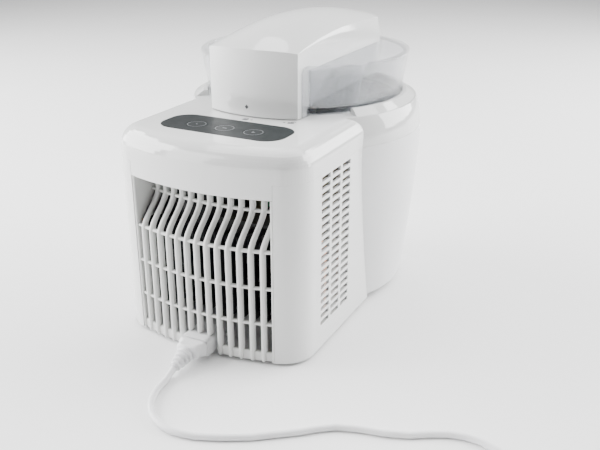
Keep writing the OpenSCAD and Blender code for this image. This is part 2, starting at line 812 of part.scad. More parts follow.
module power_board_parts() {
    color("darkslategray") translate([0, board_y, 0]) {
        // Transformer, relay, capacitor and two screws
        translate([30, -18, 64]) cube([28, 18, 24]);
        translate([18, -14, 96]) cube([18, 14, 20]);
        translate([54, 0, 104]) rotate([90, 0, 0]) cylinder(r = 8, h = 17, $fn = 48);
        for (x = [22, 66], z = [70, 140]) translate([x, 0, z]) {
            rotate([90, 0, 0]) cylinder(r = 2.5, h = 1.6, $fn = 32);
            rotate([-90, 0, 0]) cylinder(r = 1.2, h = 4, $fn = 32);
        }
    }
}

// ---- mains inlet and cord ----

inlet_face = rear_y - inlet_out;
plug_in = 14;

module mains_inlet() {
    color("white") difference() {
        translate([-inlet_w / 2, inlet_face, inlet_z - inlet_h / 2])
            cube([inlet_w, inlet_out + 22, inlet_h]);
        translate([-connector_w / 2 - 0.3, inlet_face - 1, inlet_z - connector_h / 2 - 0.3])
            cube([connector_w + 0.6, plug_in + 3, connector_h + 0.6]);
    }
}

module inlet_pins() {
    color("silver") for (x = [-7, 0, 7]) translate([x - 1, inlet_face + 3, inlet_z - 2 - (x == 0 ? -3 : 1)])
        cube([2, plug_in - 1, 4]);
}

module mains_connector() {
    color("white") {
        difference() {
            translate([-connector_w / 2, inlet_face - 14, inlet_z - connector_h / 2])
                cube([connector_w, 14 + plug_in, connector_h]);
            for (x = [-7, 0, 7])
                translate([x - 1.1, inlet_face + 2, inlet_z - 2.1 - (x == 0 ? -3 : 1)])
                    cube([2.2, plug_in, 4.2]);
        }
        translate([-connector_w / 2 - 1.5, inlet_face - 14, inlet_z - connector_h / 2 - 1])
            cube([connector_w + 3, 13.5, connector_h + 2]);
        // Strain relief that droops to the table
        translate([0, inlet_face - 14, inlet_z]) rotate([90 + relief_drop, 0, 0]) {
            translate([0, 0, -3]) cylinder(r = 7, h = 3, $fn = 48);
            cylinder(r1 = 7, r2 = cord_d / 2 + 0.8, h = relief_run, $fn = 48);
            for (i = [1 : 4]) translate([0, 0, i * 4])
                cylinder(r = 8 - i * 0.75, h = 2, $fn = 48);
        }
    }
}
relief_fall = inlet_z - cord_route[0][2];
relief_reach = inlet_face - 14 - cord_route[0][1];
relief_drop = atan(relief_fall / relief_reach);
relief_run = norm([relief_fall, relief_reach]);

module mains_cord() {
    color("white") tube_along(cord_route, cord_d, cord_sides);
}

module plug_lead() {
    color("white") tube_along(lead_route, cord_d, cord_sides);
}

module cord_coil() {
    r0 = coil_mean_r - cord_d * coil_turns / 2;
    color("white") translate([coil_centre[0], coil_centre[1], 0])
        rotate_extrude() translate([r0, 0]) square([cord_d * coil_turns, cord_d * coil_turns]);
}

module cord_tie() {
    h = cord_d * coil_turns;
    color("black") translate([coil_centre[0] + coil_mean_r, coil_centre[1], 0]) difference() {
        translate([-h / 2 - 1.2, -3, 0]) cube([h + 2.4, 6, h + 1.2]);
        translate([-coil_mean_r, 0, -1]) difference() {
            cylinder(r = coil_mean_r + h / 2 + 0.05, h = h + 1.05);
            translate([0, 0, -1]) cylinder(r = coil_mean_r - h / 2 - 0.05, h = h + 4);
        }
    }
}

module mains_plug() {
    color("white") translate(plug_centre) rotate([0, -90, 0]) difference() {
        union() {
            translate([0, 0, -plug_l / 2]) cylinder(r = plug_d / 2, h = plug_l);
            translate([0, 0, -plug_l / 2 - 6])
                cylinder(r1 = 9, r2 = plug_d / 2 - 2, h = 6 + eps);
            translate([0, 0, -plug_l / 2 - plug_relief_l])
                cylinder(r1 = cord_d / 2 + 1, r2 = 7, h = plug_relief_l - 5);
        }
        for (y = [-9.5, 9.5]) translate([0, y, plug_l / 2 - 12])
            cylinder(r = 2.03, h = 20, $fn = 32);
    }
}

module plug_pins() {
    color("silver") translate(plug_centre) rotate([0, -90, 0])
        for (y = [-9.5, 9.5]) translate([0, y, plug_l / 2]) {
            translate([0, 0, -11.5]) cylinder(r = 2, h = 12, $fn = 32);
            cylinder(r = 2.4, h = 19);
        }
}

// ---- bowl, lid and motor arm ----

module bowl() {
    floor_r = 8;
    color("silver") at_axis() rotate_extrude($fn = 180) polygon(concat(
        [[0, bowl_floor_z - bowl_wall]],
        arc(bowl_out_r - floor_r, bowl_floor_z - bowl_wall + floor_r, floor_r, -90, 0, 8),
        [[bowl_out_r, bowl_rim_z - 2], [bowl_r + 11, bowl_rim_z - 2],
            [bowl_r + 11, bowl_rim_z], [bowl_r, bowl_rim_z]],
        arc(bowl_r - floor_r + bowl_wall, bowl_floor_z + floor_r - bowl_wall,
            floor_r - bowl_wall, 0, -90, 8),
        [[0, bowl_floor_z]]));
}

module paddle() {
    z0 = bowl_floor_z + 1;
    reach = bowl_r - 1.5;
    color("white") at_axis() difference() {
        union() {
            cylinder_between(8, z0, deck_h - 1);
            // Two scraper blades with open windows
            for (side = [0, 180]) rotate([0, 0, side]) rotate([90, 0, 0])
                translate([0, 0, -2.5]) linear_extrude(5) difference() {
                    polygon([[0, z0], [reach - 10, z0], [reach, z0 + 10], [reach, 190],
                        [reach - 8, 190], [reach - 12, 176], [6, 170], [0, 170]]);
                    polygon([[14, z0 + 10], [reach - 14, z0 + 10], [reach - 14, 160], [14, 158]]);
                }
            // Slanted vanes that turn the mixture over
            for (side = [0, 180]) rotate([0, 0, side]) translate([29, 0, z0 + 4])
                rotate([0, 0, 35]) translate([-2, -13, 0]) cube([4, 26, 52]);
        }
        translate([0, 0, shaft_foot_z]) cylinder(r = shaft_d / 2 + 0.02, h = 60);
    }
}
shaft_foot_z = 180;

module cylinder_between(r, z0, z1) {
    translate([0, 0, z0]) cylinder(r = r, h = z1 - z0);
}

// Outer radius of the lid at height z
lid_z = deck_h + 0.4;
function lid_at(z) = lid_foot_r + (lid_r - lid_foot_r) * (z - lid_z) / (lid_h - lid_z);

module lid_solid(inset) {
    rotate_extrude($fn = 180) polygon([
        [0, lid_z - inset], [lid_at(lid_z - inset) - inset, lid_z - inset],
        [lid_at(lid_h + inset) - inset, lid_h + inset], [0, lid_h + inset]]);
}

module lid() {
    channel_in = tray_half + gap;
    color("lightblue", 0.4) at_axis() difference() {
        union() {
            difference() {
                lid_solid(0);
                translate([0, 0, -eps]) lid_solid(lid_wall);
            }
            // Flat rim
            tube(lid_r - 1, lid_r - lid_rim_w, lid_h - lid_wall, lid_h);
            // Floor of the two filling trays
            difference() {
                cylinder_between(lid_at(lid_floor_z) - 1, lid_floor_z, lid_floor_z + 2.4);
                translate([-channel_in, -150, 0]) cube([2 * channel_in, 300, 300]);
            }
            // Flanges on the slot's two upright edges
            for (x = [-arm_half - 2.4, arm_half + 0.4]) translate([x, -103.5, lid_z])
                rotate([90, 0, 90]) linear_extrude(2) lid_flange();
            // Side walls of the arm's channel
            intersection() {
                lid_solid(1);
                for (side = [-1, 1])
                    translate([side > 0 ? channel_in : -channel_in - 3.7, -150, lid_floor_z])
                        cube([3.7, 300, arm_split_z - gap - lid_floor_z]);
            }
        }
        // The arm comes down here behind the lid
        translate([-arm_half - 0.4, -150, 0]) cube([arm_w + 0.8, 150 - slot_y, 300]);
        // Filling slot over the bowl
        translate([-channel_in - 11, 0, 0]) linear_extrude(300) {
            for (y = [-14, 14]) translate([0, y]) circle(5);
            square([10, 28], center = true);
        }
    }
}
slot_y = 84.5;

// Outline of a flange, with a rounded top corner
module lid_flange() {
    h = lid_h - lid_z;
    translate([8, h - 8]) circle(8);
    square([15, h - 8]);
    translate([8, 0]) square([7, h]);
}

// Height of the arm's crown, of its side edge and of the crease below it, at a distance
// y from the barrel's axis
function crown_at(y) = y < -8
    ? crown_h - 22 * pow((-8 - y) / 113, 2.2)
    : crown_h - 11 * pow((y + 8) / 109, 2);
function edge_at(y) = y < 2
    ? crown_h - 13.5 - 12.5 * pow((2 - y) / 123, 2)
    : crown_h - 13.5 - 4 * pow((y - 2) / 99, 2);
function crease_at(y) = edge_at(y) - 1 - 17 * pow(max(0, (y + 121) / 222), 1.6);
function edge_half(y) = arm_half - 4 * max(0, (y + 121) / 222);

module arm_slice(y, inset, base_z) {
    half = arm_half - inset;
    brow = edge_half(y) - inset;
    edge = edge_at(y) - inset;
    rise = crown_at(y) - edge_at(y);
    r = (brow * brow + rise * rise) / (2 * rise);
    a = asin(brow / r);
    translate([0, y, 0]) rotate([90, 0, 0]) linear_extrude(0.1) polygon(concat(
        [[-half, base_z], [half, base_z], [half, crease_at(y) - inset]],
        [for (i = [0 : 16]) let (w = a - 2 * a * i / 16)
            [r * sin(w), edge + rise - r + r * cos(w)]],
        [[-half, crease_at(y) - inset]]));
}

// The arm's crowned body from base_z up
module arm_form(inset, base_z) {
    intersection() {
        hull() for (i = [0 : 14]) arm_slice(-122 + i * 16.2, inset, base_z);
        translate([0, 0, base_z]) linear_extrude(100) arm_plan(arm_rear_r, inset);
    }
}

module arm_plan(rear, inset) {
    half = arm_half - inset;
    intersection() {
        circle(rear - inset, $fn = 240);
        translate([-half, -150]) square([2 * half, 150 + eps]);
    }
    intersection() {
        circle(arm_front_r - inset, $fn = 240);
        translate([-half, 0]) square([2 * half, 150]);
    }
}

// The arm's foot behind the lid, between two radii
module column_plan(r_in, r_out, half) {
    intersection() {
        difference() {
            circle(r_out, $fn = 240);
            circle(r_in, $fn = 240);
        }
        translate([-half, -150]) square([2 * half, 150 - slot_y + 30]);
    }
}

arm_screw_spots = [[-38, -80], [38, -80], [-36, 72], [36, 72]];

module arm_top_shell() {
    foot_z = deck_h + foot_gap;
    color("white") at_axis() difference() {
        union() {
            difference() {
                union() {
                    arm_form(0, arm_split_z);
                    translate([0, 0, foot_z]) linear_extrude(arm_split_z + 1 - foot_z)
                        column_plan(column_in_r, arm_rear_r, arm_half);
                }
                arm_form(arm_wall, arm_split_z - 1);
                translate([0, 0, foot_z + arm_wall]) linear_extrude(arm_split_z - foot_z)
                    column_plan(column_in_r + arm_wall, arm_rear_r - arm_wall,
                        arm_half - arm_wall);
            }
            // Screw bosses and the socket for the paddle shaft
            intersection() {
                arm_form(1, tray_z + arm_wall + 0.2);
                union() {
                    for (p = arm_screw_spots) translate([p[0], p[1], 0])
                        cylinder(r = 4, h = 300, $fn = 48);
                    translate([0, 0, gear_z + gear_t + 1]) cylinder(r = 8, h = 50);
                }
            }
        }
        for (p = arm_screw_spots) translate([p[0], p[1], tray_z])
            cylinder(r = screw_d / 2, h = 20, $fn = 32);
        translate([0, 0, 200]) cylinder(r = shaft_d / 2 + 0.04, h = shaft_top_z + 0.5 - 200);
        translate([-12.2, -115.2, foot_z - 1]) cube([24.4, 6.4, 10]);
    }
}
shaft_top_z = gear_z + gear_t + 8;

module arm_bottom_shell() {
    color("white") at_axis() difference() {
        union() {
            difference() {
                translate([0, 0, tray_z]) linear_extrude(arm_split_z - gap - tray_z)
                    tray_plan(0);
                translate([0, 0, tray_z + arm_wall]) linear_extrude(100) tray_plan(arm_wall);
            }
            cylinder_between(bearing_d / 2 + 4, tray_z, tray_z + 14);
            for (i = [0 : 2]) translate([0, motor_y - axis_y, 0]) rotate([0, 0, i * 120 - 90])
                translate([motor_ear_r, 0, tray_z]) cylinder(r = 4, h = motor_z - tray_z);
        }
        translate([0, 0, tray_z - 1]) cylinder(r = bearing_d / 2 + 0.03, h = 30);
        for (p = arm_screw_spots) translate([p[0], p[1], tray_z - 1])
            cylinder(r = screw_d / 2 + 0.2, h = 10, $fn = 32);
        for (i = [0 : 2]) translate([0, motor_y - axis_y, 0]) rotate([0, 0, i * 120 - 90])
            translate([motor_ear_r, 0, motor_z - 5]) cylinder(r = 1.5, h = 10, $fn = 32);
    }
}
motor_ear_r = 32;

module tray_plan(inset) {
    half = tray_half - inset;
    intersection() {
        circle(column_in_r - 0.4 - inset, $fn = 240);
        translate([-half, -150]) square([2 * half, 150 + eps]);
    }
    intersection() {
        circle(lid_at(tray_z) - lid_wall - 0.6 - inset, $fn = 240);
        translate([-half, 0]) square([2 * half, 150]);
    }
}

module arm_screws() {
    color("silver") at_axis() for (p = arm_screw_spots) translate([p[0], p[1], tray_z]) screw(12);
}

module arm_contacts() {
    color("black") at_axis() translate([-12, -115, deck_h + foot_gap]) cube([24, 6, 9]);
}

module drive_motor() {
    color("silver") translate([0, motor_y, motor_z]) difference() {
        union() {
            linear_extrude(2.5) difference() {
                union() {
                    circle(motor_d / 2);
                    for (i = [0 : 2]) rotate(i * 120 - 90) {
                        translate([0, -6]) square([motor_ear_r, 12]);
                        translate([motor_ear_r, 0]) circle(6);
                    }
                }
                for (i = [0 : 2]) rotate(i * 120 - 90) translate([motor_ear_r, 0]) circle(1.6);
            }
            translate([0, 0, 2.5]) cylinder(r = motor_d / 2 - 0.5, h = motor_h - 2.5);
            translate([0, 0, motor_h]) cylinder(r = motor_d / 2 - 8, h = 2);
        }
        translate([0, 0, motor_h - 16]) cylinder(r = 3.03, h = 30, $fn = 48);
    }
}

module motor_screws() {
    color("gray") translate([0, motor_y, motor_z + 2.5]) for (i = [0 : 2])
        rotate([0, 0, i * 120 - 90]) translate([motor_ear_r, 0, 0]) mirror([0, 0, 1]) screw(7);
}

// One gear with straight-sided teeth
module gear(teeth, thickness) {
    pitch_r = teeth * tooth_module / 2;
    root_r = pitch_r - 1.0 * tooth_module;
    tip_r = pitch_r + 0.7 * tooth_module;
    half_t = 0.2 * 3.1416 * tooth_module;
    root_t = half_t + (pitch_r - root_r) * tan(20) + 0.1;
    tip_t = half_t - (tip_r - pitch_r) * tan(20);
    linear_extrude(thickness) {
        circle(root_r, $fn = 120);
        for (i = [0 : teeth - 1]) rotate([0, 0, i * 360 / teeth])
            polygon([[root_r - 0.4, -root_t], [tip_r, -tip_t], [tip_r, tip_t],
                [root_r - 0.4, root_t]]);
    }
}

module motor_pinion() {
    color("dimgray") translate([0, motor_y, 0]) {
        translate([0, 0, gear_z]) rotate([0, 0, 180 / pinion_teeth]) gear(pinion_teeth, gear_t);
        translate([0, 0, motor_z + motor_h - 14])
            cylinder(r = 3, h = gear_z + gear_t + 2 - motor_z - motor_h + 14, $fn = 48);
    }
}

module paddle_gear() {
    color("whitesmoke") at_axis() difference() {
        union() {
            translate([0, 0, gear_z]) gear(wheel_teeth, gear_t);
            cylinder_between(9, gear_z - 8, gear_z + eps);
        }
        translate([0, 0, gear_z - 20]) cylinder(r = shaft_d / 2 + 0.02, h = 60);
        for (i = [0 : 4]) rotate([0, 0, i * 72]) translate([21, 0, gear_z - 1])
            cylinder(r = 7, h = 20);
    }
}

module paddle_shaft() {
    color("silver") at_axis() cylinder_between(shaft_d / 2, shaft_foot_z, shaft_top_z);
}

module shaft_bearing() {
    color("goldenrod") at_axis() difference() {
        union() {
            cylinder_between(bearing_d / 2, tray_z, tray_z + 14);
            cylinder_between(bearing_d / 2 + 2.5, tray_z + 14, tray_z + 16);
        }
        translate([0, 0, tray_z - 1]) cylinder(r = shaft_d / 2 + 0.04, h = 30);
    }
}

top_cover();
box_shell();
barrel_shell();
rear_grille();
base_plate();
feet();
base_screws();
cover_screws();
deck_ring();
deck_contacts();
control_panel();
button(-1);  // button_left
button(0);  // button_middle
button(1);  // button_right
control_board();
button_switches();
board_screws();
cooling_well();
evaporator_coil();
insulation();
compressor();
compressor_mounts();
start_relay();
condenser();
fan_shroud();
fan_motor();
fan_wheel();
filter_drier();
refrigerant_pipes();
power_board();
power_board_parts();
mains_inlet();
inlet_pins();
bowl();
paddle();
lid();
arm_top_shell();
arm_bottom_shell();
arm_screws();
arm_contacts();
drive_motor();
motor_screws();
motor_pinion();
paddle_gear();
paddle_shaft();
shaft_bearing();
mains_connector();
mains_cord();
plug_lead();
cord_coil();
cord_tie();
mains_plug();
plug_pins();
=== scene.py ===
"""Looks of a compact compressor ice cream maker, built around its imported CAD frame."""
import json
from math import asin, cos, pi, radians, sin, sqrt

import bmesh
import bpy
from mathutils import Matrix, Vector


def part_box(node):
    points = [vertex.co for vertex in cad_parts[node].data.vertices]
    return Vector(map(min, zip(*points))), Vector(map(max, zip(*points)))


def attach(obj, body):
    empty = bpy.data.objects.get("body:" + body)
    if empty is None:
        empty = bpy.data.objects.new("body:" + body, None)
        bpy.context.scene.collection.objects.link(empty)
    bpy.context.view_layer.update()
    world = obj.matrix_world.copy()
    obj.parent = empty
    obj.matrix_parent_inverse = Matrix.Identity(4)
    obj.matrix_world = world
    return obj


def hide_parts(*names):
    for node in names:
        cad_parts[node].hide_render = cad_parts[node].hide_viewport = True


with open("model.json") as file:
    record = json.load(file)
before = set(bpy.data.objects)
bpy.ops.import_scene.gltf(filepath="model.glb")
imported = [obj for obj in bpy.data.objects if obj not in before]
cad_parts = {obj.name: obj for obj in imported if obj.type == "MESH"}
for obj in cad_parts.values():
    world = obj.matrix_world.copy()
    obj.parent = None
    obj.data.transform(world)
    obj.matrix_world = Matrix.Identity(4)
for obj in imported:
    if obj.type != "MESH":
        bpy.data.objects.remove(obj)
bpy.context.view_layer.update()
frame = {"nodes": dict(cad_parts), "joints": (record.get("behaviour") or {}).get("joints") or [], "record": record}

MM = 0.001
NODES = frame["nodes"]
JOINTS = {joint["name"]: joint for joint in frame["joints"]}


# ---- places taken from the frame ----

AXIS_Y = JOINTS["head_turn"]["pos_m"][1]
REAR_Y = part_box("top_cover")[0].y
DECK_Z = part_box("deck_contacts")[1].z


# ---- camera ----

CAMERA_AT = Vector((0.3871, -0.7128, 0.4104))
CAMERA_DOWN = radians(22.82)
CAMERA_ROUND = radians(27.22)


def make_camera():
    data = bpy.data.cameras.new("camera")
    data.lens = 48.23
    data.clip_start, data.clip_end = 0.01, 50
    camera = bpy.data.objects.new("camera", data)
    camera.location = CAMERA_AT
    camera.rotation_euler = (pi / 2 - CAMERA_DOWN, 0, CAMERA_ROUND)
    bpy.context.scene.collection.objects.link(camera)
    bpy.context.scene.camera = camera


make_camera()


# ---- materials ----

class Finish:
    """A Principled material with a few calls that add procedural detail."""

    def __init__(self, name, colour, roughness, **settings):
        self.material = bpy.data.materials.new(name)
        self.material.use_nodes = True
        self.tree = self.material.node_tree
        self.shader = self.tree.nodes["Principled BSDF"]
        self.shader.inputs["Base Color"].default_value = (*colour, 1)
        self.shader.inputs["Roughness"].default_value = roughness
        for socket, value in settings.items():
            self.shader.inputs[socket.replace("_", " ")].default_value = value
        self.colour, self.roughness = colour, roughness
        self.height = None

    def node(self, kind, **values):
        made = self.tree.nodes.new(kind)
        for name, value in values.items():
            setattr(made, name, value)
        return made

    def link(self, out, into):
        self.tree.links.new(out, into)

    def place(self, stretch=(1, 1, 1)):
        """The object's own coordinates, stretched along its axes."""
        mapping = self.node("ShaderNodeMapping")
        mapping.inputs["Scale"].default_value = stretch
        self.link(self.node("ShaderNodeTexCoord").outputs["Object"], mapping.inputs["Vector"])
        return mapping.outputs["Vector"]

    def noise(self, scale, detail=3, stretch=(1, 1, 1)):
        noise = self.node("ShaderNodeTexNoise")
        noise.inputs["Scale"].default_value = scale
        noise.inputs["Detail"].default_value = detail
        self.link(self.place(stretch), noise.inputs["Vector"])
        return noise.outputs["Fac"]

    def between(self, fac, low, high):
        """fac's middle half, spread from low to high."""
        spread = self.node("ShaderNodeMapRange")
        for socket, value in zip(("From Min", "From Max", "To Min", "To Max"),
                                 (0.3, 0.7, low, high)):
            spread.inputs[socket].default_value = value
        self.link(fac, spread.inputs["Value"])
        return spread.outputs["Result"]

    def mottled(self, scale, amount, stretch=(1, 1, 1)):
        """The colour a little lighter and darker from place to place."""
        mix = self.node("ShaderNodeMix", data_type="RGBA")
        mix.inputs["A"].default_value = (*[c * (1 - amount) for c in self.colour], 1)
        mix.inputs["B"].default_value = (*[min(1, c * (1 + amount)) for c in self.colour], 1)
        self.link(self.between(self.noise(scale, stretch=stretch), 0, 1), mix.inputs["Factor"])
        self.link(mix.outputs["Result"], self.shader.inputs["Base Color"])
        return self

    def handled(self, scale, amount, stretch=(1, 1, 1)):
        """Patches that are a little shinier and duller."""
        self.link(self.between(self.noise(scale, stretch=stretch), self.roughness - amount,
                               self.roughness + amount), self.shader.inputs["Roughness"])
        return self

    def grain(self, scale, depth, stretch=(1, 1, 1)):
        """Fine relief, depth in metres."""
        bump = self.node("ShaderNodeBump")
        bump.inputs["Strength"].default_value = 1
        bump.inputs["Distance"].default_value = depth
        self.link(self.noise(scale, detail=2, stretch=stretch), bump.inputs["Height"])
        if self.height:
            self.link(self.height, bump.inputs["Normal"])
        self.height = bump.outputs["Normal"]
        self.link(self.height, self.shader.inputs["Normal"])
        return self

    def soft_edges(self, radius):
        """Edges that catch the light as moulded ones do."""
        bevel = self.node("ShaderNodeBevel", samples=4)
        bevel.inputs["Radius"].default_value = radius
        self.height = bevel.outputs["Normal"]
        self.link(self.height, self.shader.inputs["Normal"])
        return self


def make_finishes():
    """One material for each material slot of the record."""
    made = {
        "white_gloss": Finish("white_gloss", (0.68, 0.685, 0.68), 0.06, Specular_IOR_Level=0.85)
        .mottled(9, 0.012).soft_edges(0.7 * MM).grain(220, 0.006 * MM).handled(40, 0.02),
        "white_satin": Finish("white_satin", (0.74, 0.745, 0.75), 0.38)
        .mottled(9, 0.012).soft_edges(0.7 * MM).grain(1800, 0.012 * MM).handled(60, 0.04),
        "grille_plastic": Finish("grille_plastic", (0.66, 0.665, 0.65), 0.42)
        .mottled(60, 0.02).grain(1800, 0.012 * MM).handled(80, 0.05),
        "base_plastic": Finish("base_plastic", (0.55, 0.55, 0.55), 0.55)
        .mottled(60, 0.05).grain(1500, 0.02 * MM),
        "rubber": Finish("rubber", (0.035, 0.035, 0.037), 0.8)
        .mottled(300, 0.2).grain(2500, 0.03 * MM).handled(200, 0.08),
        "zinc_steel": Finish("zinc_steel", (0.62, 0.63, 0.65), 0.32, Metallic=1.0)
        .mottled(900, 0.08).handled(700, 0.08),
        # Painted shade: the base colour is darkened to 0.24 to stand in for the dark reflection and shade seen
        # through the lid; the real bowl, well and ring metal is much brighter
        "brushed_aluminium": Finish("brushed_aluminium", (0.24, 0.25, 0.26), 0.3,
                                    Metallic=1.0, Anisotropic=0.6)
        .mottled(40, 0.05, (1, 1, 30)).grain(160, 0.01 * MM, (1, 1, 40))
        .handled(70, 0.07, (1, 1, 30)),
        "dark_panel": Finish("dark_panel", (0.016, 0.019, 0.02), 0.42, Specular_IOR_Level=0.1)
        .mottled(30, 0.06).handled(90, 0.03),
        "black_plastic": Finish("black_plastic", (0.02, 0.02, 0.02), 0.5)
        .mottled(200, 0.15).grain(1500, 0.02 * MM).handled(200, 0.06),
        "circuit_board": Finish("circuit_board", (0.02, 0.16, 0.06), 0.35)
        .mottled(500, 0.3).handled(300, 0.08),
        "copper": Finish("copper", (0.72, 0.36, 0.22), 0.3, Metallic=1.0)
        .mottled(120, 0.12).handled(200, 0.1),
        "foam": Finish("foam", (0.72, 0.62, 0.38), 0.9).mottled(150, 0.08).grain(700, 0.15 * MM),
        "black_steel": Finish("black_steel", (0.012, 0.012, 0.013), 0.35)
        .mottled(200, 0.2).grain(400, 0.01 * MM).handled(120, 0.06),
        "pin_brass": Finish("pin_brass", (0.78, 0.62, 0.36), 0.28, Metallic=1.0)
        .mottled(400, 0.06).handled(500, 0.06),
        "clear_plastic": Finish("clear_plastic", (0.5, 0.52, 0.56), 0.03,
                                Transmission_Weight=1.0, IOR=1.5, Alpha=0.4)
        .handled(60, 0.015).grain(90, 0.004 * MM),
        "motor_steel": Finish("motor_steel", (0.60, 0.61, 0.63), 0.34, Metallic=1.0)
        .mottled(90, 0.06, (1, 1, 8)).handled(120, 0.07, (1, 1, 8)),
        "white_nylon": Finish("white_nylon", (0.86, 0.86, 0.83), 0.4,
                              Subsurface_Weight=0.1, Subsurface_Scale=0.002)
        .mottled(40, 0.015).soft_edges(0.5 * MM).grain(900, 0.01 * MM),
        "cord_vinyl": Finish("cord_vinyl", (0.80, 0.80, 0.81), 0.36)
        .mottled(70, 0.02).grain(900, 0.008 * MM).handled(120, 0.05),
        "ring_print": Finish("ring_print", (0.2, 0.21, 0.22), 0.4)
        .mottled(900, 0.05),
        "dark_print": Finish("dark_print", (0.05, 0.05, 0.055), 0.5).mottled(900, 0.1),
    }
    return {name: finish.material for name, finish in made.items()}


FINISHES = make_finishes()


def add(name, mesh_maker, finish, body, replaces=()):
    """A new piece from a bmesh that mesh_maker fills, riding on a body."""
    bm = bmesh.new()
    mesh_maker(bm)
    bmesh.ops.recalc_face_normals(bm, faces=bm.faces)
    mesh = bpy.data.meshes.new(name)
    bm.to_mesh(mesh)
    bm.free()
    piece = bpy.data.objects.new(name, mesh)
    bpy.context.scene.collection.objects.link(piece)
    dress(piece, finish)
    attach(piece, body)
    if replaces:
        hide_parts(*replaces)
    return piece


def dress(piece, finish):
    piece.data.materials.clear()
    piece.data.materials.append(FINISHES[finish])


def smooth(piece, angle):
    """Smooth shading, with edges sharper than angle degrees kept crisp."""
    mesh = piece.data
    if mesh.has_custom_normals:
        with bpy.context.temp_override(object=piece, active_object=piece, selected_objects=[piece]):
            bpy.ops.mesh.customdata_custom_splitnormals_clear()
    mesh.shade_smooth()
    mesh.set_sharp_from_angle(angle=radians(angle))
    weighted = piece.modifiers.new("weighted", "WEIGHTED_NORMAL")
    weighted.keep_sharp = True
    weighted.weight = 90


def dress_cad_nodes():
    slots = {part["node"]: part["material_slot"] for part in frame["record"]["subparts"]}
    for name, node in NODES.items():
        dress(node, slots[name])
        smooth(node, 28)


dress_cad_nodes()


# ---- route of the mains cord, in millimetres ----

CORD_D = 6 * MM
CORD_RUN = [
    (0, -211, 7), (0, -215, 5.3), (0.3, -219, 4.1), (0.8, -223, 3.3), (1.2, -227, 3),
    (2, -234, 3), (4, -245, 3), (8, -255, 3), (13, -263, 3), (20, -271, 3), (29, -277, 3),
    (38, -281, 3), (48, -283, 3), (58, -282, 3), (69, -280, 3), (90, -271, 3), (110, -260, 3),
    (126, -248, 3), (142, -236, 3), (153, -226, 3), (165, -217, 3), (182, -211, 3),
    (202, -207, 3), (222, -200, 3), (236, -191, 3), (250, -184, 3), (264, -181, 3),
    (277, -182, 3), (289, -186, 3), (301, -191, 3), (313, -196, 3), (324, -199.7, 3)]
LEAD_RUN = [(326, -271, 9.5), (317, -271, 11.6), (309, -272, 14.6), (302, -273, 16.8),
            (296, -273, 18), (290, -273, 18)]
COIL_AT = (336, -236)
COIL_OUT_R, COIL_IN_R = 35, 29
COIL_TURNS = 3.5
COIL_STEPS = 24


# ---- shapes that pieces share ----

def skin(bm, rings, closed=True):
    """Quads through rings that all have the same number of points, and both ends filled."""
    rows = [[bm.verts.new(point) for point in ring] for ring in rings]
    for low, high in zip(rows, rows[1:]):
        for i in range(len(low)):
            j = (i + 1) % len(low)
            bm.faces.new((low[i], low[j], high[j], high[i]))
    if closed:
        bm.faces.new(rows[0][::-1])
        bm.faces.new(rows[-1])
    return rows


def eased(value, start, end):
    t = min(1, max(0, (value - start) / (end - start)))
    return t * t * (3 - 2 * t)


def spread(start, end, steps):
    return [start + (end - start) * i / steps for i in range(steps + 1)]


def rounded_box(width, height, radius, steps=6):
    """Corner-rounded outline about the origin; radius is one value or (lower, upper)."""
    lower, upper = radius if isinstance(radius, tuple) else (radius, radius)
    points = []
    for sx, sy, start in ((1, 1, 0), (-1, 1, 90), (-1, -1, 180), (1, -1, 270)):
        r = upper if sy > 0 else lower
        for k in range(steps + 1):
            a = radians(start + 90 * k / steps)
            points.append((sx * (width / 2 - r) + r * cos(a), sy * (height / 2 - r) + r * sin(a)))
    return points


def turned(bm, profile, start, along, steps=48):
    """A solid turned about a line: profile lists (distance along it, radius)."""
    along = Vector(along).normalized()
    side = along.orthogonal().normalized()
    up = along.cross(side)
    skin(bm, [[Vector(start) + along * s + (side * cos(a) + up * sin(a)) * r
               for a in spread(0, 2 * pi, steps)[:-1]] for s, r in profile])


# ---- rear grille ----

REAR_R = 241 * MM
RIBS, RIB_PITCH, RIB_W, RIB_D = 13, 10.7 * MM, 4.8 * MM, 5 * MM
RIB_ROUND = 2.4 * MM
# The ribs bend back by HOLD_D between these heights, under the hand hold
HOLD_D = 26 * MM
KNEE_Z, BEND_TOP_Z = 112 * MM, 146 * MM
BAR_HEIGHTS = (42 * MM, 78 * MM, 114 * MM, 143 * MM)
BAR_HALF, BAR_SET_IN, BAR_D = 1.5 * MM, 1.5 * MM, 3 * MM
BAND_H, BAND_SET_IN = 10 * MM, 2 * MM
TOP_BAR_H = 4.5 * MM
CHEEK_HALF, CHEEK_STEP_IN = 1.3 * MM, 4 * MM
# Height of the top cover's lower edge, where the cheeks step back behind it
APRON_Z = 163.5 * MM
GRILLE_LOW, GRILLE_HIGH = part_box("rear_grille")
INLET_LOW, INLET_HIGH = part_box("mains_inlet")
# Half the width of the gap that the grille leaves for the inlet
INLET_GAP_HALF = 18.3 * MM


def rear_at(x):
    return REAR_Y + REAR_R - sqrt(REAR_R ** 2 - x ** 2)


def sweep_in(z):
    """How far the ribs stand back at height z, under the hand hold."""
    return HOLD_D * eased(z, KNEE_Z, BEND_TOP_Z)


